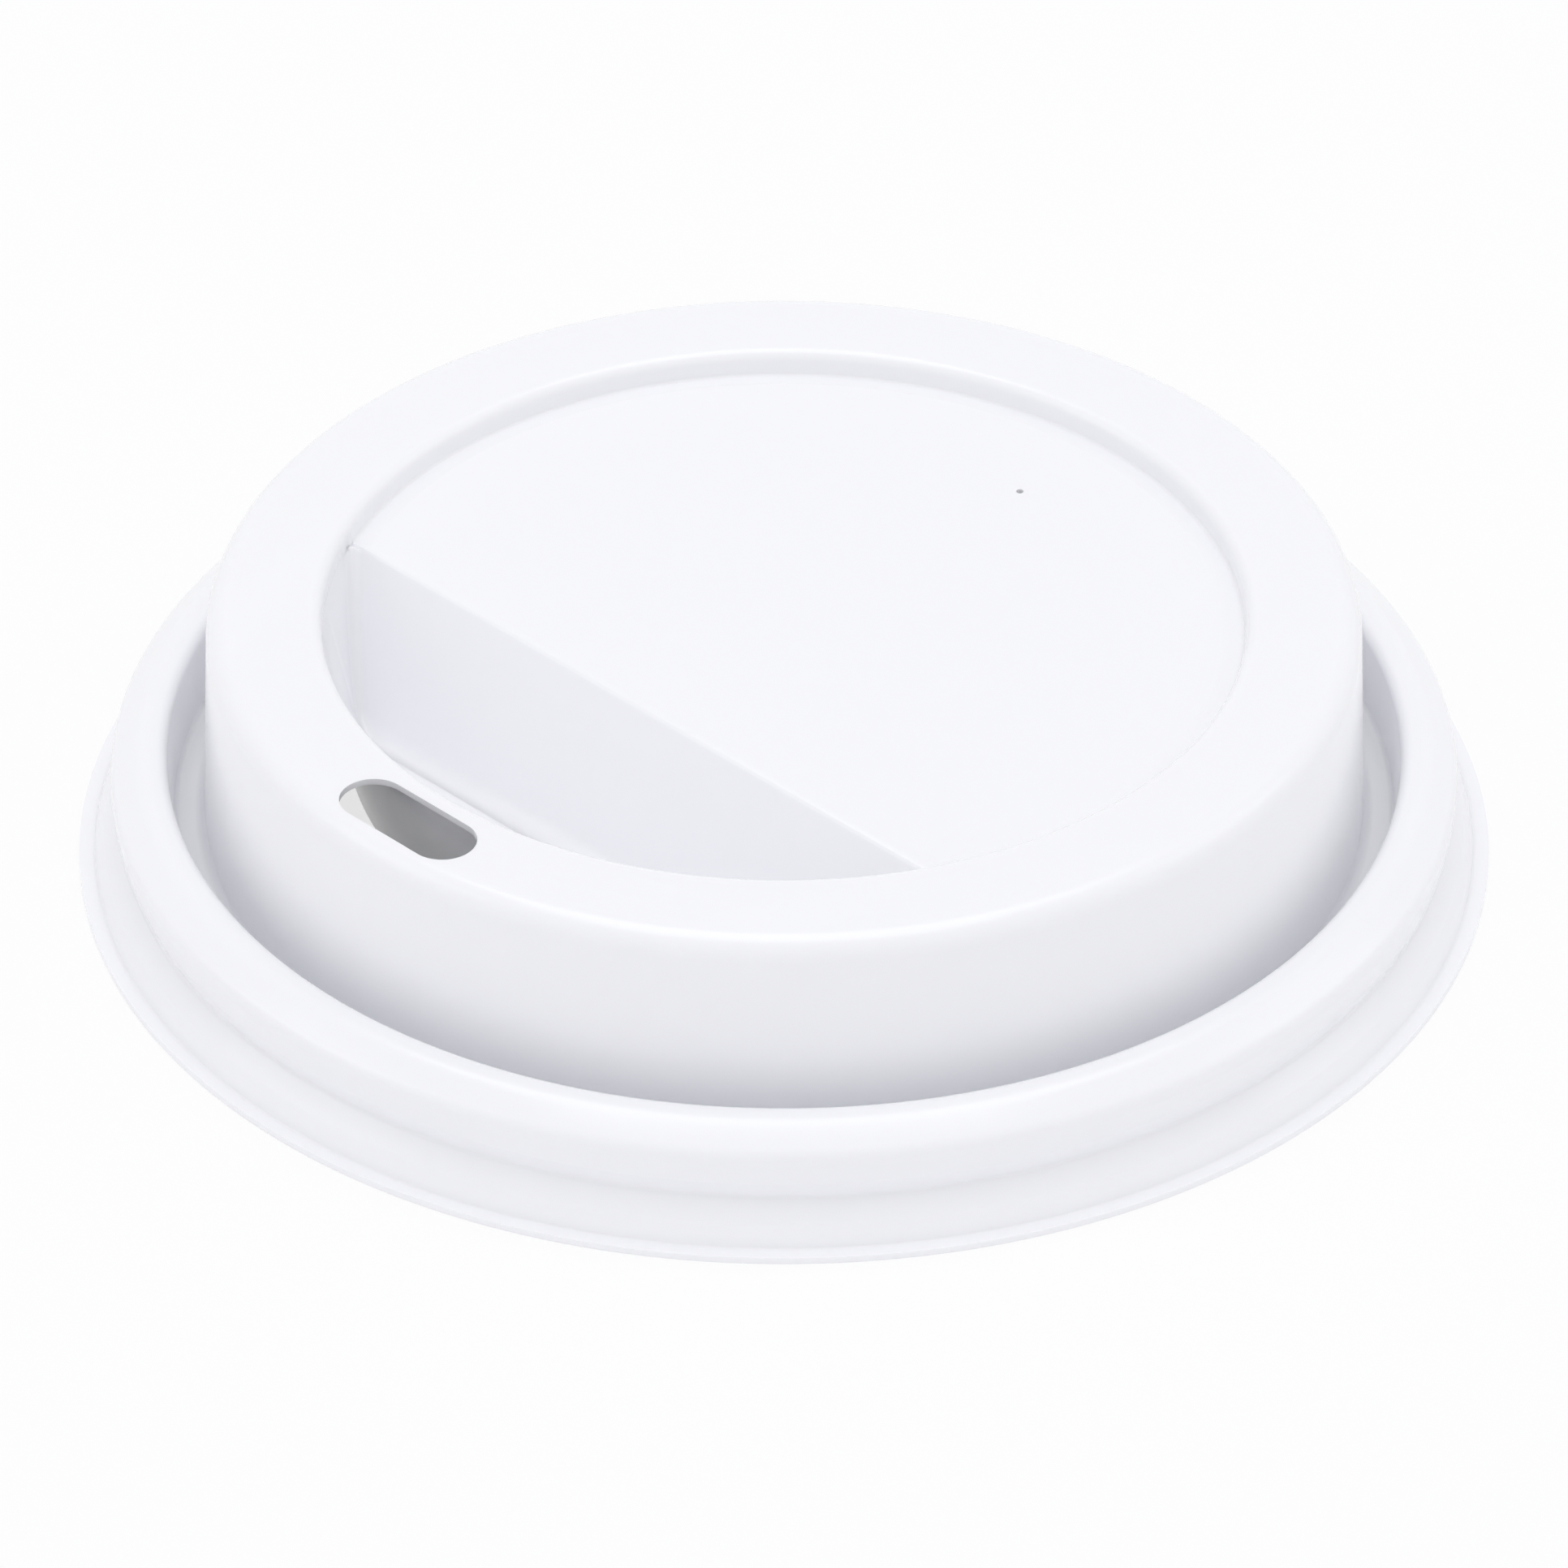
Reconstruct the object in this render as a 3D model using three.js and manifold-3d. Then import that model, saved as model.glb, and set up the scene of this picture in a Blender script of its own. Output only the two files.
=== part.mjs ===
// A sip-through dome lid for a takeaway coffee cup: one thermoformed sheet of white plastic.
// Millimetres, +Z up. The underside of the rim flange lies on z = 0 and the axis of the lid is Z.
// The sip hole faces -Y, so the lid mirrors across the plane X = 0.
import * as THREE from "three";
import { mergeVertices } from "three/addons/utils/BufferGeometryUtils.js";
import Module from "manifold-3d";

// Overall
const FLANGE_DIAMETER = 94; // over the thin flange that ends the skirt
const OVERALL_HEIGHT = 18.7; // flange underside to the drinking plateau
const SHEET = 0.45; // the formed sheet's thickness

// Skirt: flange, bulge, lock groove and the bead that grips the cup's rolled rim
const FLANGE_WIDTH = 1.0;
const BULGE_IN = 1.73; // from the flange's edge to the bulge's top edge
const BULGE_TOP = 1.85;
const BULGE_CROWN = 0.14; // how far the bulge stands proud of a straight cone
const LOCK_GROOVE_IN = 2.95; // the groove that snaps under the cup's rim
const LOCK_GROOVE_HEIGHT = 3.1;
const BEAD_FOOT_IN = 2.45;
const BEAD_FOOT = 4.45;
const BEAD_IN = 2.26; // from the flange's edge to the bead's upright outer wall
const BEAD_BELLY = 5.9; // below it the outer wall tucks in towards the groove
const BEAD_SHOULDER = 6.9; // where the outer wall starts to lean in
const BEAD_CREST = 8.28;
const BEAD_CREST_IN = 4.25; // from the flange's edge to the outer end of the crest
const BEAD_INNER_IN = 5.98; // from the flange's edge to the crest's inner corner
const BEAD_INNER_LEAN = 0.44; // how much further in the bead's inner wall stands at its foot
const GROOVE_WIDTH = 2.0; // floor between the bead and the dome
const GROOVE_FLOOR = 3.25;

// Dome: outer wall, drinking plateau and the recessed panel inside it
const DOME_DRAFT = 1.78; // degrees from upright
const PLATEAU_EDGE_RADIUS = 1.6;
const PLATEAU_WIDTH = 7.52; // the drinking ring, from the dome's corner to the panel's wall
const PLATEAU_INNER_RADIUS = 0.8;
const PANEL_WALL_LEAN = 0.15; // how much further in the panel's wall stands at its foot
const PANEL_DEPTH = 1.5; // plateau down to the flat of the panel
const PANEL_DISH = 0.2; // how much lower the panel's edge is than its flat
const PANEL_DISH_WIDTH = 1.45;
const CREASE_FILLET = 0.2; // where the panel meets its wall

// Lip well: the deep pocket behind the sip hole
const WELL_WIDTH = 17.23; // the curved wall to the straight edge of the panel, across the middle
const FACE_SLOPE = 61; // degrees from level
const WELL_DEPTH = 11.1; // plateau down to the well's floor
const WELL_DRAFT = 12.7; // degrees from upright
const WELL_CORNER = 1.5; // round corner between the sloped face and the curved wall, at the floor
const WELL_CORNER_TOP = 0.6; // the same corner at the panel
const WELL_FLOOR_FILLET = 1.5;
const WELL_EDGE_RADIUS = 0.6; // between the panel and the sloped face
const WELL_OVERLAP = 0.05; // keeps the pocket's wall clear of the ring wall above it
const SHARPEST_CORNER = 0.2;

// Openings
const SIP_LENGTH = 10.5;
const SIP_WIDTH = 4.3;
const SIP_IN = 3.8; // the dome's corner to the middle of the sip hole
const VENT_DIAMETER = 0.5;
const VENT_IN = 8.03; // the panel's crease to the pinhole vent, on the far side from the sip hole

// Facets
const TURNS = 64; // flats round the lid
const ARC_STEP = 34; // degrees of turn between two points of a fillet
const WELL_ARC = 20; // spans along the well's curved wall
const CORNER_ARC = 3;
const FLOOR_STEPS = 3;
const EDGE_STEPS = 2;

const rad = THREE.MathUtils.degToRad;
// Radii, from the flange inwards
const FLANGE_R = FLANGE_DIAMETER / 2;
const BEAD_INNER_R = FLANGE_R - BEAD_INNER_IN;
const GROOVE_OUTER_R = BEAD_INNER_R - BEAD_INNER_LEAN;
const DOME_FOOT_R = GROOVE_OUTER_R - GROOVE_WIDTH;
const DOME_TOP_R = DOME_FOOT_R - Math.tan(rad(DOME_DRAFT)) * (OVERALL_HEIGHT - GROOVE_FLOOR);
const PLATEAU_INNER_R = DOME_TOP_R - PLATEAU_WIDTH;
const CREASE_R = PLATEAU_INNER_R - PANEL_WALL_LEAN;
const CHORD_OFFSET = CREASE_R - WELL_WIDTH;
const SIP_CENTRE = DOME_TOP_R - SIP_IN;
const VENT_CENTRE = CREASE_R - VENT_IN;

// Heights
const PANEL_TOP = OVERALL_HEIGHT - PANEL_DEPTH;
const CREASE_Z = PANEL_TOP - PANEL_DISH;
const WELL_FLOOR = OVERALL_HEIGHT - WELL_DEPTH;

const wasm = await Module();
wasm.setup();

// Replaces each corner [r, z, fillet] of a path by an arc of points. The first and last stay sharp.
function roundedPath(corners) {
  const at = corners.map(([r, z]) => new THREE.Vector2(r, z));
  const path = [at[0]];
  for (let i = 1; i < at.length - 1; i++) {
    const before = at[i - 1].clone().sub(at[i]).normalize();
    const after = at[i + 1].clone().sub(at[i]).normalize();
    const between = Math.acos(THREE.MathUtils.clamp(before.dot(after), -1, 1));
    const room = Math.min(at[i - 1].distanceTo(at[i]), at[i + 1].distanceTo(at[i])) * 0.49;
    const reach = Math.min((corners[i][2] ?? 0) / Math.tan(between / 2), room);
    const radius = reach * Math.tan(between / 2);
    const turn = Math.PI - between;
    if (reach < 1e-3 || turn < rad(1)) {
      path.push(at[i]);
      continue;
    }
    const centre = at[i].clone().add(
      before.clone().add(after).normalize().multiplyScalar(radius / Math.sin(between / 2)));
    const start = at[i].clone().addScaledVector(before, reach).sub(centre);
    const side = Math.sign(before.clone().negate().cross(after));
    const steps = Math.max(1, Math.round(turn / rad(ARC_STEP)));
    for (let k = 0; k <= steps; k++)
      path.push(start.clone().rotateAround(new THREE.Vector2(), (side * turn * k) / steps).add(centre));
  }
  path.push(at[at.length - 1]);
  return path;
}

// The corners of the same path moved sideways, to the right of its direction. A fillet that turns
// away from the move grows by as much as the path moves, and one that turns towards it shrinks.
function movedCorners(corners, distance) {
  const at = corners.map(([r, z]) => new THREE.Vector2(r, z));
  return at.map((p, i) => {
    const before = (i ? p.clone().sub(at[i - 1]) : at[1].clone().sub(p)).normalize();
    const after = (i < at.length - 1 ? at[i + 1].clone().sub(p) : before.clone()).normalize();
    const mitre = before.clone().add(after).normalize();
    const stretch = distance / mitre.dot(before);
    const grown = (corners[i][2] ?? 0) + Math.sign(before.cross(after)) * distance;
    return [p.x + mitre.y * stretch, p.y - mitre.x * stretch, Math.max(grown, 0)];
  });
}

// A three.js geometry as a manifold-3d solid: positions only, equal points joined, flat triangles dropped.
function solid(geometry) {
  const bare = new THREE.BufferGeometry().setAttribute("position", geometry.getAttribute("position"));
  bare.setIndex(geometry.getIndex());
  const merged = mergeVertices(bare, 1e-4);
  const kept = [];
  const index = merged.getIndex().array;
  for (let i = 0; i < index.length; i += 3) {
    const [a, b, c] = index.slice(i, i + 3);
    if (a !== b && b !== c && c !== a) kept.push(a, b, c);
  }
  return new wasm.Manifold(new wasm.Mesh({
    numProp: 3,
    vertProperties: merged.getAttribute("position").array,
    triVerts: new Uint32Array(kept),
  }));
}

// Turns a closed profile, given from the axis at the bottom, out, up and back to the axis.
function turned(profile) {
  return solid(new THREE.LatheGeometry(profile, TURNS).rotateX(Math.PI / 2));
}

// The corners of the sheet's show side, from the axis of the panel out to the flange's edge.
function showCorners() {
  const bulgeMid = (BULGE_TOP + SHEET) / 2;
  const bulgeMidR = FLANGE_R - (FLANGE_WIDTH + BULGE_IN) / 2 + BULGE_CROWN;
  return [
    [0, PANEL_TOP],
    [CREASE_R - PANEL_DISH_WIDTH, PANEL_TOP, 1],
    [CREASE_R, CREASE_Z, CREASE_FILLET],
    [PLATEAU_INNER_R, OVERALL_HEIGHT, PLATEAU_INNER_RADIUS],
    [DOME_TOP_R, OVERALL_HEIGHT, PLATEAU_EDGE_RADIUS],
    [DOME_FOOT_R, GROOVE_FLOOR, 0.7],
    [GROOVE_OUTER_R, GROOVE_FLOOR, 0.4],
    [BEAD_INNER_R, BEAD_CREST, 0.75],
    [FLANGE_R - BEAD_CREST_IN, BEAD_CREST, 1.6],
    [FLANGE_R - BEAD_IN, BEAD_SHOULDER, 1.2],
    [FLANGE_R - BEAD_IN, BEAD_BELLY, 1],
    [FLANGE_R - BEAD_FOOT_IN, BEAD_FOOT, 0.6],
    [FLANGE_R - LOCK_GROOVE_IN, LOCK_GROOVE_HEIGHT, 0.3],
    [FLANGE_R - BULGE_IN, BULGE_TOP, 0.4],
    [bulgeMidR, bulgeMid, 1.5],
    [FLANGE_R - FLANGE_WIDTH, SHEET, 0.15],
    [FLANGE_R, SHEET],
  ];
}

// One outline of the well at height z: a circular segment with round corners, counter-clockwise
// from above.
function wellOutline(chord, radius, corner, z) {
  const inner = radius - corner;
  const cx = Math.sqrt(inner * inner - (chord + corner) ** 2);
  const cy = -(chord + corner);
  const tangent = Math.atan2(cy, cx); // where the corner meets the curved wall
  const points = [];
  const arc = (x, y, r, from, to, steps) => {
    for (let k = 0; k <= steps; k++) {
      const a = from + ((to - from) * k) / steps;
      points.push([x + r * Math.cos(a), y + r * Math.sin(a), z]);
    }
  };
  arc(-cx, cy, corner, Math.PI / 2, Math.PI - tangent, CORNER_ARC);
  arc(0, 0, radius, Math.PI - tangent, 2 * Math.PI + tangent, WELL_ARC);
  arc(cx, cy, corner, tangent, Math.PI / 2, CORNER_ARC);
  return points;
}

// The well's pocket as a solid, from its floor up through the panel. `grow` moves its walls and floor
// outwards: 0 for the show side, or the sheet's thickness for the underside.
function wellPocket(grow) {
  const slope = rad(FACE_SLOPE);
  const draft = rad(WELL_DRAFT);
  const floor = WELL_FLOOR - grow;
  const fillet = WELL_FLOOR_FILLET + grow;
  const panel = PANEL_TOP - grow;
  const edge = Math.max(WELL_EDGE_RADIUS - grow, 0); // round edge between the panel and the sloped face
  const edgeDrop = edge * (1 - Math.cos(slope));
  const brim = CREASE_Z + CREASE_FILLET + WELL_OVERLAP; // the pocket leaves the ring wall here
  const faceAt = (z) => CHORD_OFFSET + (PANEL_TOP - z) / Math.tan(slope) - grow / Math.sin(slope);
  const chordAt = (z) => {
    const drop = Math.max(panel - z, 0);
    if (drop >= edgeDrop) return faceAt(Math.min(z, panel));
    return faceAt(panel) - edge * Math.tan(slope / 2) + Math.sqrt(edge * edge - (edge - drop) ** 2);
  };
  const radiusAt = (z) => CREASE_R + WELL_OVERLAP + grow / Math.cos(draft)
    - Math.max(CREASE_Z - z, 0) * Math.tan(draft) - Math.max(z - brim, 0);

  const rings = [];
  for (let k = 0; k <= FLOOR_STEPS; k++) {
    const a = (Math.PI / 2) * (k / FLOOR_STEPS);
    const z = floor + fillet * (1 - Math.cos(a));
    const inset = fillet * (1 - Math.sin(a));
    const corner = Math.max(WELL_CORNER + grow - inset, SHARPEST_CORNER);
    rings.push(wellOutline(chordAt(z) + inset, radiusAt(z) - inset, corner, z));
  }
  const heights = [CREASE_Z, brim, brim + SHEET];
  for (let k = 0; k <= (edge ? EDGE_STEPS : 0); k++)
    heights.push(panel - edge * (1 - Math.cos(slope * (1 - k / EDGE_STEPS))));
  for (const z of heights.sort((p, q) => p - q))
    rings.push(wellOutline(chordAt(z), radiusAt(z), WELL_CORNER_TOP + grow, z));

  const count = rings[0].length;
  const positions = rings.flat(2);
  const index = [];
  for (let s = 0; s < rings.length - 1; s++)
    for (let i = 0; i < count; i++) {
      const a = s * count + i;
      const b = s * count + ((i + 1) % count);
      index.push(a, b, b + count, a, b + count, a + count);
    }
  for (const [s, up] of [[0, false], [rings.length - 1, true]]) {
    const outline = rings[s].map(([x, y]) => new THREE.Vector2(x, y));
    for (const [a, b, c] of THREE.ShapeUtils.triangulateShape(outline, []))
      index.push(...(up ? [a, b, c] : [a, c, b]).map((i) => i + s * count));
  }
  const geometry = new THREE.BufferGeometry();
  geometry.setAttribute("position", new THREE.Float32BufferAttribute(positions, 3));
  return solid(geometry.setIndex(index));
}

// A straight punch through the sheet between two heights.
function punch(shape, bottom, top, curveSegments) {
  const geometry = new THREE.ExtrudeGeometry(shape, { depth: top - bottom, bevelEnabled: false, curveSegments });
  return solid(geometry.translate(0, 0, bottom));
}

function sipHole() {
  const half = SIP_WIDTH / 2;
  const straight = SIP_LENGTH / 2 - half;
  const shape = new THREE.Shape();
  shape.absarc(straight, -SIP_CENTRE, half, -Math.PI / 2, Math.PI / 2);
  shape.absarc(-straight, -SIP_CENTRE, half, Math.PI / 2, (3 * Math.PI) / 2);
  return punch(shape, OVERALL_HEIGHT - 2, OVERALL_HEIGHT + 1, 12);
}

function ventHole() {
  const shape = new THREE.Shape().absarc(0, VENT_CENTRE, VENT_DIAMETER / 2, 0, 2 * Math.PI);
  return punch(shape, PANEL_TOP - 1.5, PANEL_TOP + 1, 6);
}

// The sheet is the space under its show side, less the space under its underside. The well is cut
// from the first and kept out of the second one sheet thickness away, so its walls are sheet too.
function formedSheet() {
  const outside = roundedPath(showCorners());
  const inside = roundedPath(movedCorners(showCorners(), SHEET)).slice(0, -1);
  const mouth = inside[inside.length - 1];
  const below = -1;
  const over = turned([new THREE.Vector2(0, 0), new THREE.Vector2(FLANGE_R, 0), ...outside.toReversed()]);
  const under = turned([
    new THREE.Vector2(0, below),
    new THREE.Vector2(mouth.x, below),
    ...inside.toReversed(),
  ]);
  return over
    .subtract(wellPocket(0))
    .subtract(under.subtract(wellPocket(SHEET)))
    .subtract(sipHole())
    .subtract(ventHole());
}

function meshOf(name, made, material) {
  const { vertProperties, triVerts } = made.getMesh();
  const geometry = new THREE.BufferGeometry();
  geometry.setAttribute("position", new THREE.BufferAttribute(new Float32Array(vertProperties), 3));
  geometry.setIndex(new THREE.BufferAttribute(new Uint32Array(triVerts), 1));
  geometry.computeVertexNormals();
  const mesh = new THREE.Mesh(geometry, material);
  mesh.name = name;
  return mesh;
}

const whitePlastic = new THREE.MeshStandardMaterial({ color: 0xf6f7fa, roughness: 0.3, metalness: 0 });
const model = new THREE.Group();
model.name = "coffee_cup_lid";
model.add(meshOf("lid", formedSheet(), whitePlastic));

export default model;
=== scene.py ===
"""The looks of a sip-through coffee cup lid, formed from one thin sheet of white plastic.

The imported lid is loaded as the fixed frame. A finer lid, modelled here with the same sizes, stands
for it, and gets its glossy white finish. The lid's lengths are in millimetres and its angles in
degrees up to Blender's own calls. The finish, the lamps and the floor are stated in metres. The
sip hole faces -Y, and the flange's underside lies on z = 0.
"""

import logging
import math
from contextlib import contextmanager
from dataclasses import dataclass, field
from enum import Enum
from typing import Any, Callable, Iterator, Sequence

import bmesh
import bpy
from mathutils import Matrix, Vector


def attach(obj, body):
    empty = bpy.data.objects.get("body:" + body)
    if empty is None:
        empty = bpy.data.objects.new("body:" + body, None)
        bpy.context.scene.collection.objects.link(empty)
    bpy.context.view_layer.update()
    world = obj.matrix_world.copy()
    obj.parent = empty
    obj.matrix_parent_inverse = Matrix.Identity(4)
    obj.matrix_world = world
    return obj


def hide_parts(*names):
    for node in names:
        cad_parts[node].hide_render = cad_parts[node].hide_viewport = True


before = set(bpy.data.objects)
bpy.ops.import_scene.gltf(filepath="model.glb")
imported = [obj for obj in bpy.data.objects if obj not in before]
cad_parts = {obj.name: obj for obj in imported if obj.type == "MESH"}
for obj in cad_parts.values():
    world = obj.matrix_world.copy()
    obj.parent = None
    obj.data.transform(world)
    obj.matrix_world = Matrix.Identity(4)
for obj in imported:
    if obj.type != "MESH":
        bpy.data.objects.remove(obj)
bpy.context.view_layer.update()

LOG = logging.getLogger("lid")
MM = 0.001

# Vertices merge below these gaps, in metres.
WELD = 1e-6
SPIN_WELD = 2e-6

# The limits of an arc at a corner: its share of a side, its reach and fillet in millimetres,
# its turn in degrees and its number of steps.
ARC_SHARE = 0.49
LEAST_REACH = 1e-3
LEAST_FILLET = 0.08
LEAST_TURN = 0.5
LEAST_STEPS = 2

Point = tuple[float, float]
Corner = tuple[float, float, float]
Colour = tuple[float, float, float, float]


class Side(Enum):
    """The two faces of the formed sheet."""

    SHOW = "show"
    UNDER = "under"


class Element(Enum):
    """The kinds of mesh element, by Blender's name and by the name of their list."""

    VERT = "verts"
    EDGE = "edges"
    FACE = "faces"


# ---------------------------------------------------------------- the modelling bench


def clear_selection() -> None:
    """Leaves edit mode and deselects every object."""
    if bpy.context.object and bpy.context.object.mode != "OBJECT":
        bpy.ops.object.mode_set(mode="OBJECT")
    bpy.ops.object.select_all(action="DESELECT")


def make_active(obj: bpy.types.Object) -> None:
    """Selects one object alone and makes it the active one.

    Args:
        obj: The object to work on.
    """
    clear_selection()
    obj.select_set(True)
    bpy.context.view_layer.objects.active = obj


@contextmanager
def editing(obj: bpy.types.Object) -> Iterator[None]:
    """Opens an object in edit mode, and returns to object mode at the end.

    Args:
        obj: The mesh object to edit.
    """
    make_active(obj)
    bpy.ops.object.mode_set(mode="EDIT")
    bpy.ops.mesh.select_mode(type="VERT")
    try:
        yield
    finally:
        bpy.ops.object.mode_set(mode="OBJECT")


def pick(obj: bpy.types.Object, kind: Element, wanted: Callable[[Any], bool]) -> int:
    """Selects the elements of one kind that pass a test, in edit mode.

    Args:
        obj: The object that is open in edit mode.
        kind: The kind of element.
        wanted: The test of one element.

    Returns:
        How many elements were selected.
    """
    bpy.ops.mesh.select_mode(type=kind.name)
    bpy.ops.mesh.select_all(action="DESELECT")
    mesh = bmesh.from_edit_mesh(obj.data)
    chosen = [element for element in getattr(mesh, kind.value) if wanted(element)]
    for element in chosen:
        element.select_set(True)
    bmesh.update_edit_mesh(obj.data)
    return len(chosen)


def weld(gap: float = WELD) -> None:
    """Selects the whole mesh and merges the vertices that lie together, in edit mode.

    Args:
        gap: The widest gap that closes, in metres.
    """
    bpy.ops.mesh.select_all(action="SELECT")
    bpy.ops.mesh.remove_doubles(threshold=gap)


def face_outwards() -> None:
    """Selects the whole mesh and turns its normals outwards, in edit mode."""
    bpy.ops.mesh.select_all(action="SELECT")
    bpy.ops.mesh.normals_make_consistent(inside=False)


def set_origin(obj: bpy.types.Object) -> None:
    """Puts an object's place, turn and size into its mesh.

    Args:
        obj: The object, left at the origin, unturned and unscaled.
    """
    make_active(obj)
    bpy.ops.object.transform_apply(location=True, rotation=True, scale=True)


def add_primitive(
    add: Callable[..., Any], scale: Sequence[float] = (1, 1, 1), **sizes: Any
) -> bpy.types.Object:
    """Adds one of Blender's primitives.

    Args:
        add: The operator that adds it.
        scale: How far it is stretched along x, y and z.
        **sizes: The operator's own settings.

    Returns:
        The object, with its place, turn and size in its mesh.
    """
    bpy.ops.object.select_all(action="DESELECT")
    add(**sizes)
    made = bpy.context.object
    made.scale = scale
    set_origin(made)
    return made


def carve(target: bpy.types.Object, tool: bpy.types.Object, keep_common: bool = False) -> None:
    """Cuts one closed mesh out of another, or trims it to the other, and removes the tool.

    Args:
        target: The mesh that is cut.
        tool: The mesh that cuts it.
        keep_common: True to keep what the two have in common, in place of what they don't.
    """
    make_active(target)
    boolean = target.modifiers.new("cut", "BOOLEAN")
    boolean.operation = "INTERSECT" if keep_common else "DIFFERENCE"
    boolean.solver = "MANIFOLD"
    boolean.object = tool
    bpy.ops.object.modifier_apply(modifier=boolean.name)
    bpy.data.objects.remove(tool, do_unlink=True)


def draw_path(points: Sequence[tuple[float, float, float]]) -> bpy.types.Object:
    """Draws a line as a mesh: one vertex, extruded from point to point.

    Args:
        points: The (x, y, z) of each point, in millimetres.

    Returns:
        The line's object, at the origin.
    """
    place = Vector(points[0]) * MM
    line = add_primitive(bpy.ops.mesh.primitive_plane_add, size=MM, location=place)
    with editing(line):
        bpy.ops.mesh.select_all(action="SELECT")
        bpy.ops.mesh.merge(type="CENTER")
        for here, there in zip(points, points[1:]):
            step = (Vector(there) - Vector(here)) * MM
            bpy.ops.mesh.extrude_region_move(TRANSFORM_OT_translate={"value": step})
    return line


# ---------------------------------------------------------------- profiles


def rounded_path(corners: Sequence[Corner], step: float) -> list[Point]:
    """Turns a path of corners into points, with an arc at each corner.

    Args:
        corners: (radius, height, fillet) of each corner, in millimetres.
        step: The turn between two points of an arc, in degrees.

    Returns:
        (radius, height) of each point, in millimetres.
    """
    at = [Vector((r, z)) for r, z, _ in corners]
    path: list[Point] = [tuple(at[0])]
    for before, here, after, (_, _, fillet) in zip(at, at[1:], at[2:], corners[1:]):
        back, on = (before - here), (after - here)
        room = min(back.length, on.length) * ARC_SHARE
        back.normalize()
        on.normalize()
        between = back.angle(on)
        reach = min(fillet / math.tan(between / 2), room)
        turn = math.pi - between
        if reach < LEAST_REACH or turn < math.radians(LEAST_TURN):
            path.append(tuple(here))
            continue
        radius = reach * math.tan(between / 2)
        centre = here + (back + on).normalized() * (radius / math.sin(between / 2))
        start = here + back * reach - centre
        side = 1 if (-back).cross(on) > 0 else -1
        steps = max(LEAST_STEPS, round(math.degrees(turn) / step))
        for k in range(steps + 1):
            angle = side * turn * k / steps
            cos, sin = math.cos(angle), math.sin(angle)
            across = centre.x + start.x * cos - start.y * sin
            up = centre.y + start.x * sin + start.y * cos
            path.append((across, up))
    path.append(tuple(at[-1]))
    return path


def moved_corners(corners: Sequence[Corner], depth: float) -> list[Corner]:
    """Moves a path of corners sideways, to the right of its direction.

    Args:
        corners: (radius, height, fillet) of each corner, in millimetres.
        depth: How far each side of the path moves, in millimetres.

    Returns:
        The moved corners. A fillet that turns away from the move grows by the depth, and one that
        turns towards it shrinks by as much, down to a small radius.
    """
    at = [Vector((r, z)) for r, z, _ in corners]
    moved: list[Corner] = []
    for i, here in enumerate(at):
        before = (here - at[i - 1]).normalized() if i else (at[1] - here).normalized()
        after = (at[i + 1] - here).normalized() if i + 1 < len(at) else before
        mitre = (before + after).normalized()
        stretch = depth / mitre.dot(before)
        grows = before.cross(after) > 0
        fillet = corners[i][2] + (depth if grows else -depth)
        across, up = here.x + mitre.y * stretch, here.y - mitre.x * stretch
        moved.append((across, up, max(fillet, LEAST_FILLET)))
    return moved


# ---------------------------------------------------------------- finishes


def noise(
    tree: bpy.types.NodeTree, place: bpy.types.NodeSocket, scale: float, detail: float
) -> bpy.types.NodeSocket:
    """Adds a noise pattern that is fixed to the object.

    Args:
        tree: The node tree that gets it.
        place: The coordinates.
        scale: The pattern's scale, in grains to the metre.
        detail: The number of finer layers.

    Returns:
        The pattern, from 0 to 1.
    """
    made = tree.nodes.new("ShaderNodeTexNoise")
    made.inputs["Scale"].default_value = scale
    made.inputs["Detail"].default_value = detail
    tree.links.new(place, made.inputs["Vector"])
    return made.outputs["Fac"]


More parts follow.
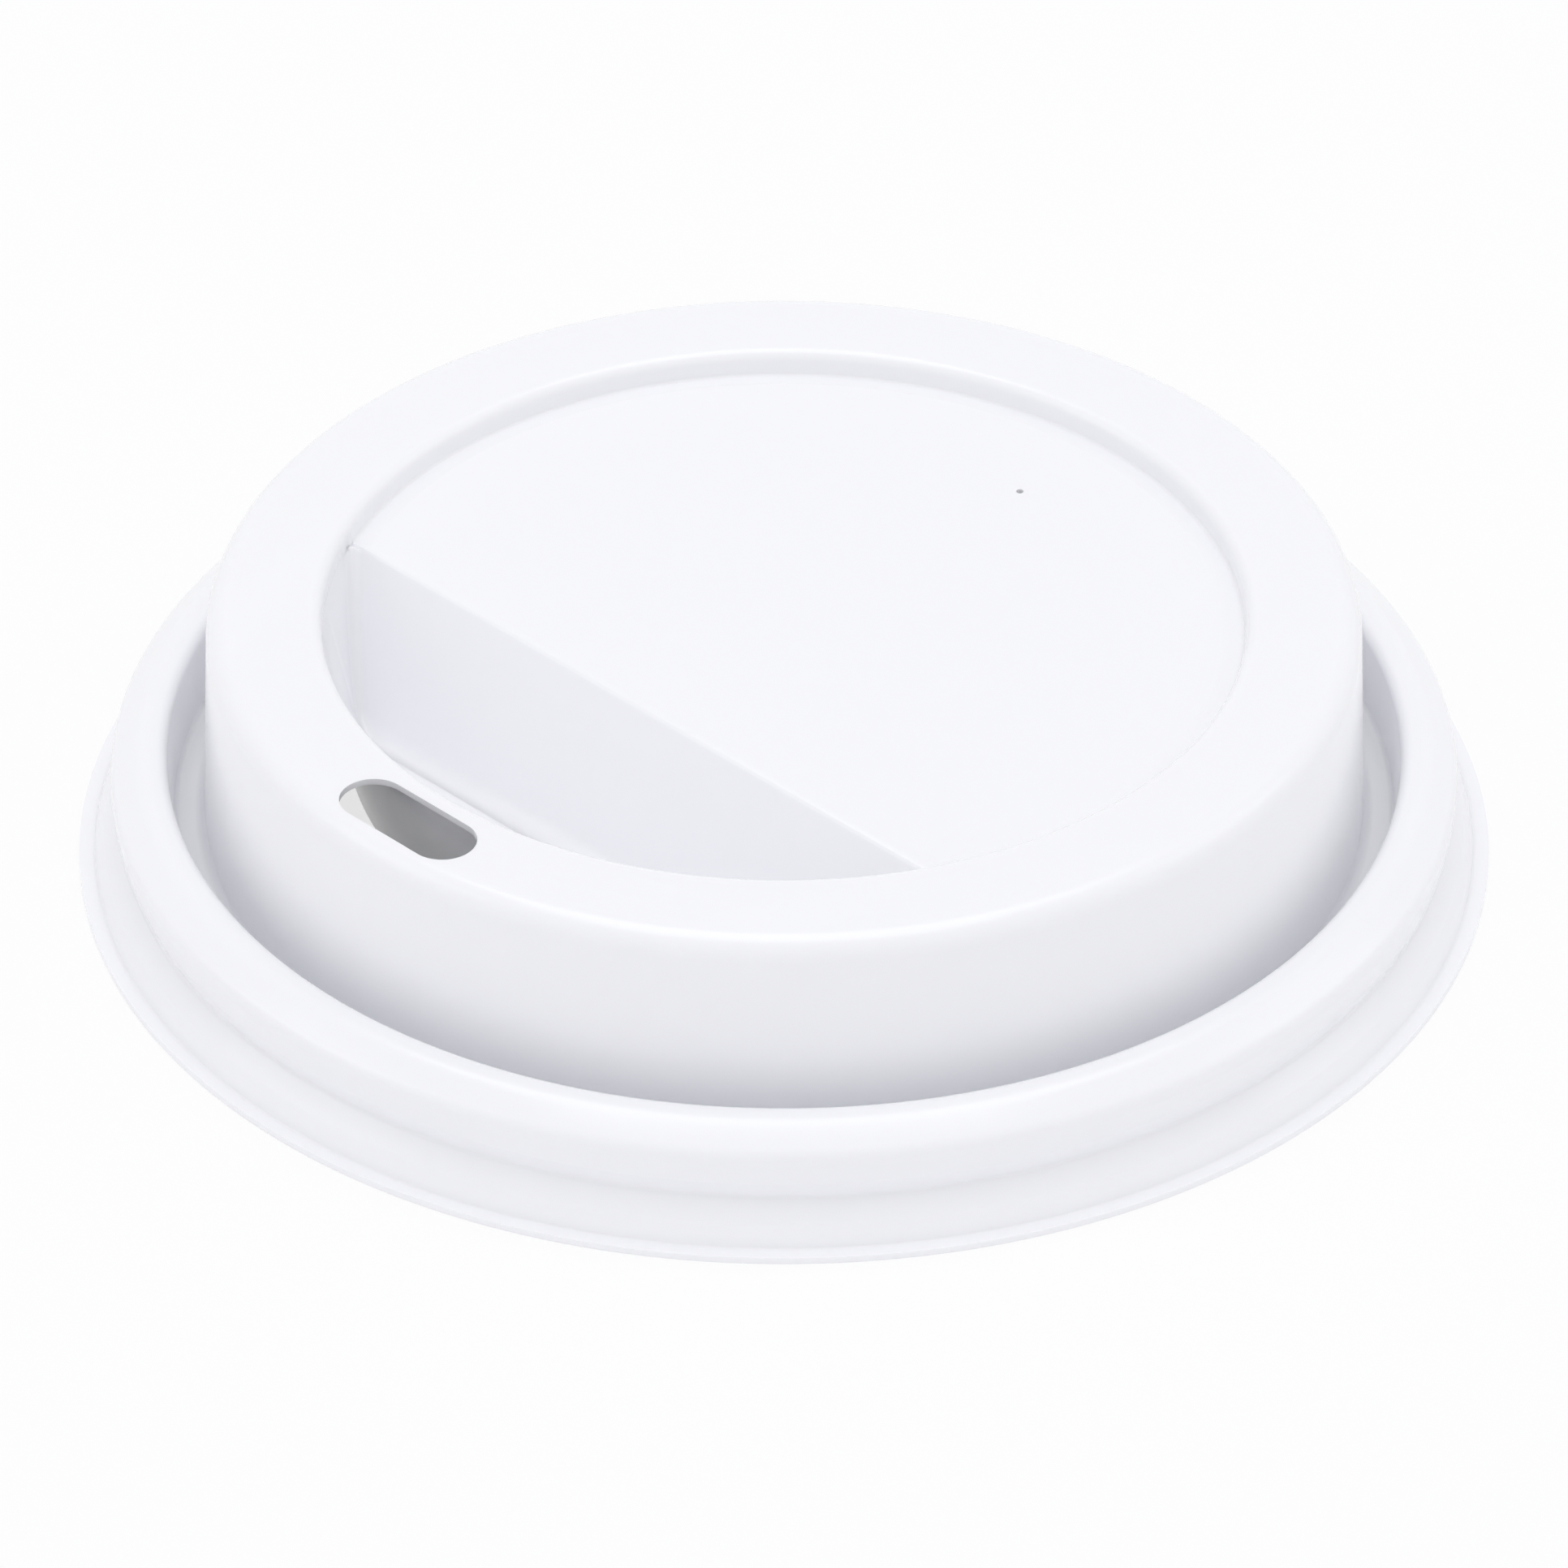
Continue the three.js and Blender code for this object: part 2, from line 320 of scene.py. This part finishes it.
@dataclass(frozen=True)
class WhitePolystyrene:
    """Glossy white polystyrene sheet, with the faint unevenness of a formed skin."""

    colour: Colour = (0.948, 0.952, 0.982, 1.0)
    shade: Colour = (0.94, 0.945, 0.978, 1.0)
    roughness: tuple[float, float] = (0.17, 0.23)
    refraction: float = 1.59
    cloud_scale: float = 45.0
    cloud_detail: float = 1.0
    ripple_scale: float = 260.0
    ripple_detail: float = 2.0
    ripple_strength: float = 0.05
    ripple_height: float = 0.00005
    scatter: float = 0.25
    scatter_depth: float = 0.0005
    scatter_spread: tuple[float, float, float] = (1.0, 1.0, 1.0)

    def material(self) -> bpy.types.Material:
        """Builds the node material.

        Returns:
            The finished material.
        """
        made = bpy.data.materials.new("white_polystyrene")
        made.use_nodes = True
        tree = made.node_tree
        nodes, links = tree.nodes, tree.links
        shader = nodes["Principled BSDF"]
        place = nodes.new("ShaderNodeTexCoord").outputs["Object"]
        cloud = noise(tree, place, self.cloud_scale, self.cloud_detail)
        ripple = noise(tree, place, self.ripple_scale, self.ripple_detail)

        tint = nodes.new("ShaderNodeMix")
        tint.data_type = "RGBA"
        tint.inputs["A"].default_value = self.colour
        tint.inputs["B"].default_value = self.shade
        links.new(cloud, tint.inputs["Factor"])
        links.new(tint.outputs["Result"], shader.inputs["Base Color"])

        rough = nodes.new("ShaderNodeMapRange")
        rough.inputs["To Min"].default_value = self.roughness[0]
        rough.inputs["To Max"].default_value = self.roughness[1]
        links.new(cloud, rough.inputs["Value"])
        links.new(rough.outputs["Result"], shader.inputs["Roughness"])

        bump = nodes.new("ShaderNodeBump")
        bump.inputs["Strength"].default_value = self.ripple_strength
        bump.inputs["Distance"].default_value = self.ripple_height
        links.new(ripple, bump.inputs["Height"])
        links.new(bump.outputs["Normal"], shader.inputs["Normal"])

        shader.inputs["IOR"].default_value = self.refraction
        shader.inputs["Subsurface Weight"].default_value = self.scatter
        shader.inputs["Subsurface Radius"].default_value = self.scatter_spread
        shader.inputs["Subsurface Scale"].default_value = self.scatter_depth
        return made


# ---------------------------------------------------------------- the lid


@dataclass
class Skirt:
    """The skirt's sizes: flange, bulge, lock groove and the bead that grips a cup's rolled rim."""

    flange_radius: float = 47.0
    flange_width: float = 1.0
    bulge_in: float = 1.73
    bulge_top: float = 1.85
    bulge_crown: float = 0.14
    lock_groove_in: float = 2.95
    lock_groove_height: float = 3.1
    bead_foot_in: float = 2.45
    bead_foot: float = 4.45
    bead_in: float = 2.26
    bead_belly: float = 5.9
    bead_shoulder: float = 6.9
    bead_crest: float = 8.28
    bead_crest_in: float = 4.25
    bead_inner_in: float = 5.98
    bead_inner_lean: float = 0.44
    groove_width: float = 2.0
    groove_floor: float = 3.25
    groove_fillet: float = 0.4
    bead_inner_fillet: float = 0.8
    bead_crest_fillet: float = 1.7
    bead_shoulder_fillet: float = 1.3
    bead_belly_fillet: float = 1.0
    bead_foot_fillet: float = 0.6
    lock_groove_fillet: float = 0.35
    bulge_fillet: float = 0.4
    crown_fillet: float = 1.6
    flange_fillet: float = 0.2

    @property
    def dome_foot_radius(self) -> float:
        """The radius at which the dome's wall would meet the groove's floor."""
        return self.flange_radius - self.bead_inner_in - self.bead_inner_lean - self.groove_width

    def corners(self, sheet: float) -> list[Corner]:
        """The show side of the skirt, from the groove's outer corner to the flange's edge.

        Args:
            sheet: The sheet's thickness in millimetres.

        Returns:
            The corners of the path.
        """
        r = self.flange_radius
        middle = (self.flange_width + self.bulge_in) / 2
        groove_edge = r - self.bead_inner_in - self.bead_inner_lean
        return [
            (groove_edge, self.groove_floor, self.groove_fillet),
            (r - self.bead_inner_in, self.bead_crest, self.bead_inner_fillet),
            (r - self.bead_crest_in, self.bead_crest, self.bead_crest_fillet),
            (r - self.bead_in, self.bead_shoulder, self.bead_shoulder_fillet),
            (r - self.bead_in, self.bead_belly, self.bead_belly_fillet),
            (r - self.bead_foot_in, self.bead_foot, self.bead_foot_fillet),
            (r - self.lock_groove_in, self.lock_groove_height, self.lock_groove_fillet),
            (r - self.bulge_in, self.bulge_top, self.bulge_fillet),
            (r - middle + self.bulge_crown, (self.bulge_top + sheet) / 2, self.crown_fillet),
            (r - self.flange_width, sheet, self.flange_fillet),
            (r, sheet, 0.0),
        ]


@dataclass
class Dome:
    """The dome's sizes: outer wall, drinking plateau and the recessed panel inside it."""

    height: float = 18.7
    draft: float = 1.78
    edge_radius: float = 1.6
    plateau_width: float = 7.52
    plateau_inner_radius: float = 0.8
    panel_wall_lean: float = 0.15
    panel_depth: float = 1.5
    panel_dish: float = 0.2
    panel_dish_width: float = 1.45
    panel_dish_fillet: float = 1.0
    crease_fillet: float = 0.2
    foot_fillet: float = 0.7

    @property
    def panel_top(self) -> float:
        """The height of the panel's flat."""
        return self.height - self.panel_depth

    def top_radius(self, skirt: Skirt) -> float:
        """The radius of the dome's upper corner, before it is rounded."""
        lean = math.tan(math.radians(self.draft)) * (self.height - skirt.groove_floor)
        return skirt.dome_foot_radius - lean

    def crease_radius(self, skirt: Skirt) -> float:
        """The radius of the crease round the panel."""
        return self.top_radius(skirt) - self.plateau_width - self.panel_wall_lean

    def corners(self, skirt: Skirt) -> list[Corner]:
        """The show side of the dome, from the axis to the wall's foot.

        Args:
            skirt: The skirt that the dome stands in.

        Returns:
            The corners of the path.
        """
        crease = self.crease_radius(skirt)
        return [
            (0.0, self.panel_top, 0.0),
            (crease - self.panel_dish_width, self.panel_top, self.panel_dish_fillet),
            (crease, self.panel_top - self.panel_dish, self.crease_fillet),
            (crease + self.panel_wall_lean, self.height, self.plateau_inner_radius),
            (self.top_radius(skirt), self.height, self.edge_radius),
            (skirt.dome_foot_radius, skirt.groove_floor, self.foot_fillet),
        ]


@dataclass
class Well:
    """The lip well's sizes: the deep pocket behind the sip hole."""

    width: float = 17.23
    slope: float = 61.0
    depth: float = 11.1
    draft: float = 12.7
    fillet: float = 1.15
    fillet_steps: int = 8
    overlap: float = 0.02
    edge_radius: float = 0.6
    edge_steps: int = 7
    tool_rise: float = 4.0
    tool_reach: float = 1.0
    recess_height: float = 6.0
    least_fold: float = 25.0
    down: float = -0.2
    up: float = 0.9

    def chord(self, dome: Dome, skirt: Skirt) -> float:
        """The distance from the axis to the straight edge of the panel."""
        return dome.crease_radius(skirt) - self.width

    def pocket(self, dome: Dome, skirt: Skirt, grow: float, turns: int) -> bpy.types.Object:
        """Models the pocket as a closed tool: a drafted cup, cut off by the sloped face.

        Args:
            dome: The dome that the well sinks into.
            skirt: The skirt that the dome stands in.
            grow: How far the walls and the floor move outwards, in millimetres.
            turns: The number of flats round the cup.

        Returns:
            The tool.
        """
        floor = dome.height - self.depth
        crease = dome.crease_radius(skirt)
        rim = dome.panel_top - dome.panel_dish
        lean = math.tan(math.radians(self.draft)) * (rim - floor)
        tool = add_primitive(
            bpy.ops.mesh.primitive_cone_add,
            vertices=turns,
            radius1=(crease + self.overlap - lean) * MM,
            radius2=(crease + self.overlap) * MM,
            depth=(rim - floor) * MM,
            location=(0, 0, (rim + floor) / 2 * MM),
            rotation=(0, 0, math.pi / turns),
        )
        slope = math.radians(self.slope)
        below_rim = (rim - self.overlap) * MM
        with editing(tool):
            pick(tool, Element.FACE, lambda face: face.calc_center_median().z > below_rim)
            rise = (0, 0, self.tool_rise * MM)
            bpy.ops.mesh.extrude_region_move(TRANSFORM_OT_translate={"value": rise})
            bpy.ops.mesh.select_all(action="SELECT")
            bpy.ops.mesh.bisect(
                plane_co=(0, -self.chord(dome, skirt) * MM, dome.panel_top * MM),
                plane_no=(0, math.sin(slope), -math.cos(slope)),
                use_fill=True,
                clear_outer=True,
            )
            weld()
            face_outwards()
            pick(tool, Element.EDGE, self._is_fillet_edge)
            bpy.ops.mesh.bevel(
                offset=self.fillet * MM,
                segments=self.fillet_steps,
                profile=0.5,
                affect="EDGES",
                clamp_overlap=False,
            )
            weld()
            if grow:
                bpy.ops.transform.shrink_fatten(value=grow * MM, use_even_offset=True)
        return tool

    def router(self, dome: Dome, skirt: Skirt, turns: int) -> bpy.types.Object:
        """Models the tool that rounds the straight edge between the panel and the sloped face.

        Args:
            dome: The dome that the well sinks into.
            skirt: The skirt that the dome stands in.
            turns: The number of flats round the recess that the edge ends in.

        Returns:
            The tool: a bar along the edge, trimmed to the recess.
        """
        slope = math.radians(self.slope)
        top, r = dome.panel_top, self.edge_radius
        start = self.chord(dome, skirt) - r * math.tan(slope / 2)
        angles = [slope * k / self.edge_steps for k in range(self.edge_steps + 1)]
        section = [(start + r * math.sin(a), top - r * (1 - math.cos(a))) for a in angles]
        y, z = section[-1]
        section += [
            (y + r * math.sin(slope), z + r * math.cos(slope)),
            (y + r, top + r),
            (start, top + r),
            section[0],
        ]
        reach = dome.crease_radius(skirt) + self.tool_reach
        tool = draw_path([(-reach, -y, z) for y, z in section])
        with editing(tool):
            weld()
            bpy.ops.mesh.edge_face_add()
            across = (2 * reach * MM, 0, 0)
            bpy.ops.mesh.extrude_region_move(TRANSFORM_OT_translate={"value": across})
            face_outwards()
        recess = add_primitive(
            bpy.ops.mesh.primitive_cylinder_add,
            vertices=turns,
            radius=(dome.crease_radius(skirt) + self.overlap) * MM,
            depth=self.recess_height * MM,
            location=(0, 0, top * MM),
            rotation=(0, 0, math.pi / turns),
        )
        carve(tool, recess, keep_common=True)
        return tool

    def _is_fillet_edge(self, edge: bmesh.types.BMEdge) -> bool:
        """Tells the edges that are filleted: round the floor, and where slope and wall meet.

        Args:
            edge: An edge of the pocket's tool, whose floor and slope look down.

        Returns:
            True for a folded edge beside a face that looks down, away from the tool's top.
        """
        if len(edge.link_faces) != 2:
            return False
        one, other = (face.normal for face in edge.link_faces)
        folded = one.angle(other) > math.radians(self.least_fold)
        looks_down = min(one.z, other.z) < self.down
        at_top = max(one.z, other.z) >= self.up
        return folded and looks_down and not at_top


@dataclass
class Openings:
    """The sizes of the sip hole and of the pinhole vent."""

    sip_length: float = 10.9
    sip_width: float = 4.45
    sip_in: float = 3.8
    vent_diameter: float = 0.5
    vent_in: float = 8.03
    punch_height: float = 4.0
    needle_height: float = 3.0
    flats: int = 24


@dataclass
class Lid:
    """The whole lid: one formed sheet with its two openings."""

    skirt: Skirt = field(default_factory=Skirt)
    dome: Dome = field(default_factory=Dome)
    well: Well = field(default_factory=Well)
    openings: Openings = field(default_factory=Openings)
    finish: WhitePolystyrene = field(default_factory=WhitePolystyrene)
    sheet: float = 0.45
    turns: int = 288
    arc_step: float = 9.0
    skirting: float = 1.0
    flat_angle: float = 0.05
    crisp_angle: float = 28.0

    def build(self) -> bpy.types.Object:
        """Models the lid.

        Returns:
            The finished object, at the origin.
        """
        show = self._surface(Side.SHOW)
        under = self._surface(Side.UNDER)
        make_active(show)
        under.select_set(True)
        bpy.ops.object.join()
        with editing(show):
            found = pick(show, Element.EDGE, lambda edge: len(edge.link_faces) == 1)
            LOG.info("flange edge: %d open edges bridged", found)
            bpy.ops.mesh.bridge_edge_loops()
            face_outwards()
        carve(show, self._sip_tool())
        carve(show, self._vent_tool())
        show.name = show.data.name = "lid_shell"
        make_active(show)
        bpy.ops.object.shade_smooth_by_angle(angle=math.radians(self.crisp_angle))
        return show

    def dress(self, shell: bpy.types.Object) -> None:
        """Gives the lid its finish, hangs its mesh on the root body, and hides the imported lid.

        Args:
            shell: The finished object.
        """
        shell.data.materials.clear()
        shell.data.materials.append(self.finish.material())
        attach(shell, "root")
        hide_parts("lid")

    def _path(self, side: Side) -> list[Point]:
        """The path of one side of the sheet, from the axis to the flange's edge."""
        corners = self.dome.corners(self.skirt) + self.skirt.corners(self.sheet)
        if side is Side.UNDER:
            corners = moved_corners(corners, self.sheet)
        return rounded_path(corners, self.arc_step)

    def _surface(self, side: Side) -> bpy.types.Object:
        """Models one side of the sheet as an open surface, with the well sunk into it.

        Args:
            side: Which side of the sheet.

        Returns:
            The surface, open at the flange's edge.
        """
        path = self._path(side)
        edge = path[-1]
        below = edge[1] - self.skirting
        solid = self._turned(path + [(edge[0], below), (0.0, below)])
        grow = 0.0 if side is Side.SHOW else self.sheet
        carve(solid, self.well.pocket(self.dome, self.skirt, grow, self.turns))
        if side is Side.SHOW:
            carve(solid, self.well.router(self.dome, self.skirt, self.turns))
        base = (edge[1] - self.skirting / 2) * MM
        with editing(solid):
            pick(solid, Element.VERT, lambda vert: vert.co.z < base)
            bpy.ops.mesh.delete(type="VERT")
            bpy.ops.mesh.select_all(action="SELECT")
            bpy.ops.mesh.dissolve_limited(angle_limit=math.radians(self.flat_angle))
        return solid

    def _turned(self, path: Sequence[Point]) -> bpy.types.Object:
        """Turns a path about the lid's axis.

        Args:
            path: (radius, height) of each point, in millimetres, starting and ending on the axis.

        Returns:
            The closed solid.
        """
        solid = draw_path([(r, 0.0, z) for r, z in path])
        with editing(solid):
            bpy.ops.mesh.select_all(action="SELECT")
            bpy.ops.mesh.spin(
                steps=self.turns, angle=2 * math.pi, center=(0, 0, 0), axis=(0, 0, 1)
            )
            weld(SPIN_WELD)
            face_outwards()
        return solid

    def _sip_tool(self) -> bpy.types.Object:
        """Models the punch of the sip hole: a bar with fully rounded ends."""
        sizes = self.openings
        centre = self.dome.top_radius(self.skirt) - sizes.sip_in
        tool = add_primitive(
            bpy.ops.mesh.primitive_cube_add,
            scale=(sizes.sip_length * MM, sizes.sip_width * MM, sizes.punch_height * MM),
            size=1,
            location=(0, -centre * MM, self.dome.height * MM),
        )
        with editing(tool):
            pick(tool, Element.EDGE, lambda edge: abs(edge.verts[0].co.z - edge.verts[1].co.z) > MM)
            bpy.ops.mesh.bevel(
                offset=sizes.sip_width / 2 * MM,
                segments=sizes.flats,
                profile=0.5,
                affect="EDGES",
                clamp_overlap=False,
            )
            weld()
        return tool

    def _vent_tool(self) -> bpy.types.Object:
        """Models the needle of the pinhole vent: a round bar."""
        sizes = self.openings
        y = (self.dome.crease_radius(self.skirt) - sizes.vent_in) * MM
        return add_primitive(
            bpy.ops.mesh.primitive_cylinder_add,
            vertices=sizes.flats,
            radius=sizes.vent_diameter / 2 * MM,
            depth=sizes.needle_height * MM,
            location=(0, y, self.dome.panel_top * MM),
        )


# ---------------------------------------------------------------- the studio


@dataclass(frozen=True)
class SoftBox:
    """One square soft lamp that looks at the lid.

    Its turn is counted from behind the lid, as the camera sees it, towards the camera's right.
    """

    name: str
    turn: float
    rise: float
    watts: float
    side: float = 0.5
    distance: float = 1.0

    def hang(self, back: Vector, right: Vector) -> None:
        """Creates the lamp.

        Args:
            back: The level direction away from the camera.
            right: The level direction to the camera's right.
        """
        turn, rise = math.radians(self.turn), math.radians(self.rise)
        level = back * math.cos(turn) + right * math.sin(turn)
        place = (level * math.cos(rise) + Vector((0, 0, math.sin(rise)))) * self.distance
        made = bpy.data.lights.new(self.name, "AREA")
        made.shape = "SQUARE"
        made.size = self.side
        made.energy = self.watts
        lamp = bpy.data.objects.new(self.name, made)
        bpy.context.scene.collection.objects.link(lamp)
        lamp.location = place
        lamp.rotation_euler = (-place).to_track_quat("-Z", "Y").to_euler()


@dataclass(frozen=True)
class Studio:
    """The pale floor, the soft lights and the camera.

    The camera's distance, lens, sensor and target are in millimetres, its clip range in metres.
    """

    azimuth: float = 44.9
    elevation: float = 35.13
    distance: float = 850.1
    lens: float = 293.1
    sensor: float = 36.0
    clip: tuple[float, float] = (0.01, 20.0)
    target_height: float = 4.37
    surround: float = 0.72
    fill: float = 0.18
    fill_colour: Colour = (0.985, 0.985, 1.0, 1.0)
    white: float = 1.0
    floor_size: float = 6.0
    floor_white: float = 0.75
    floor_colour: Colour = (0.95, 0.95, 0.96, 1.0)
    floor_roughness: float = 0.9
    boxes: tuple[SoftBox, ...] = (
        SoftBox("top_box", 0.0, 84.0, 2.4, side=0.8),
        SoftBox("left_box", -95.0, 35.0, 0.4),
        SoftBox("right_box", 80.0, 35.0, 0.4),
    )

    def place_camera(self) -> None:
        """Creates the camera at the viewing angle of the reference."""
        turn, rise = math.radians(self.azimuth), math.radians(self.elevation)
        towards = Vector(
            (math.sin(turn) * math.cos(rise), -math.cos(turn) * math.cos(rise), math.sin(rise))
        )
        target = Vector((0, 0, self.target_height * MM))
        made = bpy.data.cameras.new("camera")
        made.lens = self.lens
        made.sensor_width = self.sensor
        made.clip_start, made.clip_end = self.clip
        camera = bpy.data.objects.new("camera", made)
        bpy.context.scene.collection.objects.link(camera)
        camera.location = target + towards * self.distance * MM
        camera.rotation_euler = (-towards).to_track_quat("-Z", "Y").to_euler()
        bpy.context.scene.camera = camera

    def lay_floor(self) -> None:
        """Lays the floor, which the camera sees as plain white away from the lid's shadow."""
        floor = add_primitive(bpy.ops.mesh.primitive_plane_add, size=self.floor_size)
        floor.name = floor.data.name = "floor"
        made = bpy.data.materials.new("pale_floor")
        made.use_nodes = True
        nodes, links = made.node_tree.nodes, made.node_tree.links
        shader = nodes["Principled BSDF"]
        shader.inputs["Base Color"].default_value = self.floor_colour
        shader.inputs["Roughness"].default_value = self.floor_roughness
        glow = nodes.new("ShaderNodeEmission")
        glow.inputs["Strength"].default_value = self.white
        share = nodes.new("ShaderNodeMath")
        share.operation = "MULTIPLY"
        share.inputs[1].default_value = self.floor_white
        mix = nodes.new("ShaderNodeMixShader")
        links.new(self._seen_rays(made.node_tree), share.inputs[0])
        links.new(share.outputs["Value"], mix.inputs["Fac"])
        links.new(shader.outputs["BSDF"], mix.inputs[1])
        links.new(glow.outputs["Emission"], mix.inputs[2])
        links.new(mix.outputs["Shader"], nodes["Material Output"].inputs["Surface"])
        floor.data.materials.append(made)

    def light(self) -> None:
        """Sets the pale surround, brighter on the camera's side, and hangs the soft boxes."""
        world = bpy.data.worlds.new("surround")
        bpy.context.scene.world = world
        world.use_nodes = True
        nodes, links = world.node_tree.nodes, world.node_tree.links
        turn = math.radians(self.azimuth)
        front = Vector((math.sin(turn), -math.cos(turn), 0))
        place = nodes.new("ShaderNodeTexCoord")
        facing = nodes.new("ShaderNodeVectorMath")
        facing.operation = "DOT_PRODUCT"
        facing.inputs[1].default_value = front
        links.new(place.outputs["Generated"], facing.inputs[0])
        near = nodes.new("ShaderNodeMapRange")
        near.inputs["To Min"].default_value = self.surround
        near.inputs["To Max"].default_value = self.surround + self.fill
        links.new(facing.outputs["Value"], near.inputs["Value"])
        background = nodes["Background"]
        background.inputs["Color"].default_value = self.fill_colour
        links.new(near.outputs["Result"], background.inputs["Strength"])
        seen = nodes.new("ShaderNodeBackground")
        seen.inputs["Color"].default_value = (1, 1, 1, 1)
        seen.inputs["Strength"].default_value = self.white
        mix = nodes.new("ShaderNodeMixShader")
        links.new(self._seen_rays(world.node_tree), mix.inputs["Fac"])
        links.new(background.outputs["Background"], mix.inputs[1])
        links.new(seen.outputs["Background"], mix.inputs[2])
        links.new(mix.outputs["Shader"], nodes["World Output"].inputs["Surface"])
        for box in self.boxes:
            box.hang(-front, Vector((-front.y, front.x, 0)))

    @staticmethod
    def _seen_rays(tree: bpy.types.NodeTree) -> bpy.types.NodeSocket:
        """Adds the nodes that tell rays that show the backdrop from rays that light the lid.

        Args:
            tree: The node tree that gets them.

        Returns:
            A value of 1 for camera, glossy and transmission rays, and 0 for the rest.
        """
        rays = tree.nodes.new("ShaderNodeLightPath")
        either = tree.nodes.new("ShaderNodeMath")
        either.operation = "MAXIMUM"
        tree.links.new(rays.outputs["Is Camera Ray"], either.inputs[0])
        tree.links.new(rays.outputs["Is Glossy Ray"], either.inputs[1])
        any_of = tree.nodes.new("ShaderNodeMath")
        any_of.operation = "MAXIMUM"
        tree.links.new(either.outputs["Value"], any_of.inputs[0])
        tree.links.new(rays.outputs["Is Transmission Ray"], any_of.inputs[1])
        return any_of.outputs["Value"]


def main() -> None:
    """Builds the studio and the lid, and reports each piece."""
    logging.basicConfig(level=logging.INFO, format="%(name)s: %(message)s")
    bpy.context.scene.view_settings.view_transform = "Standard"
    studio = Studio()
    studio.place_camera()
    studio.lay_floor()
    studio.light()
    LOG.info("studio: %d soft boxes", len(studio.boxes))

    lid = Lid()
    shell = lid.build()
    lid.dress(shell)
    LOG.info("%s: %d faces", shell.name, len(shell.data.polygons))


if __name__ == "__main__":
    main()
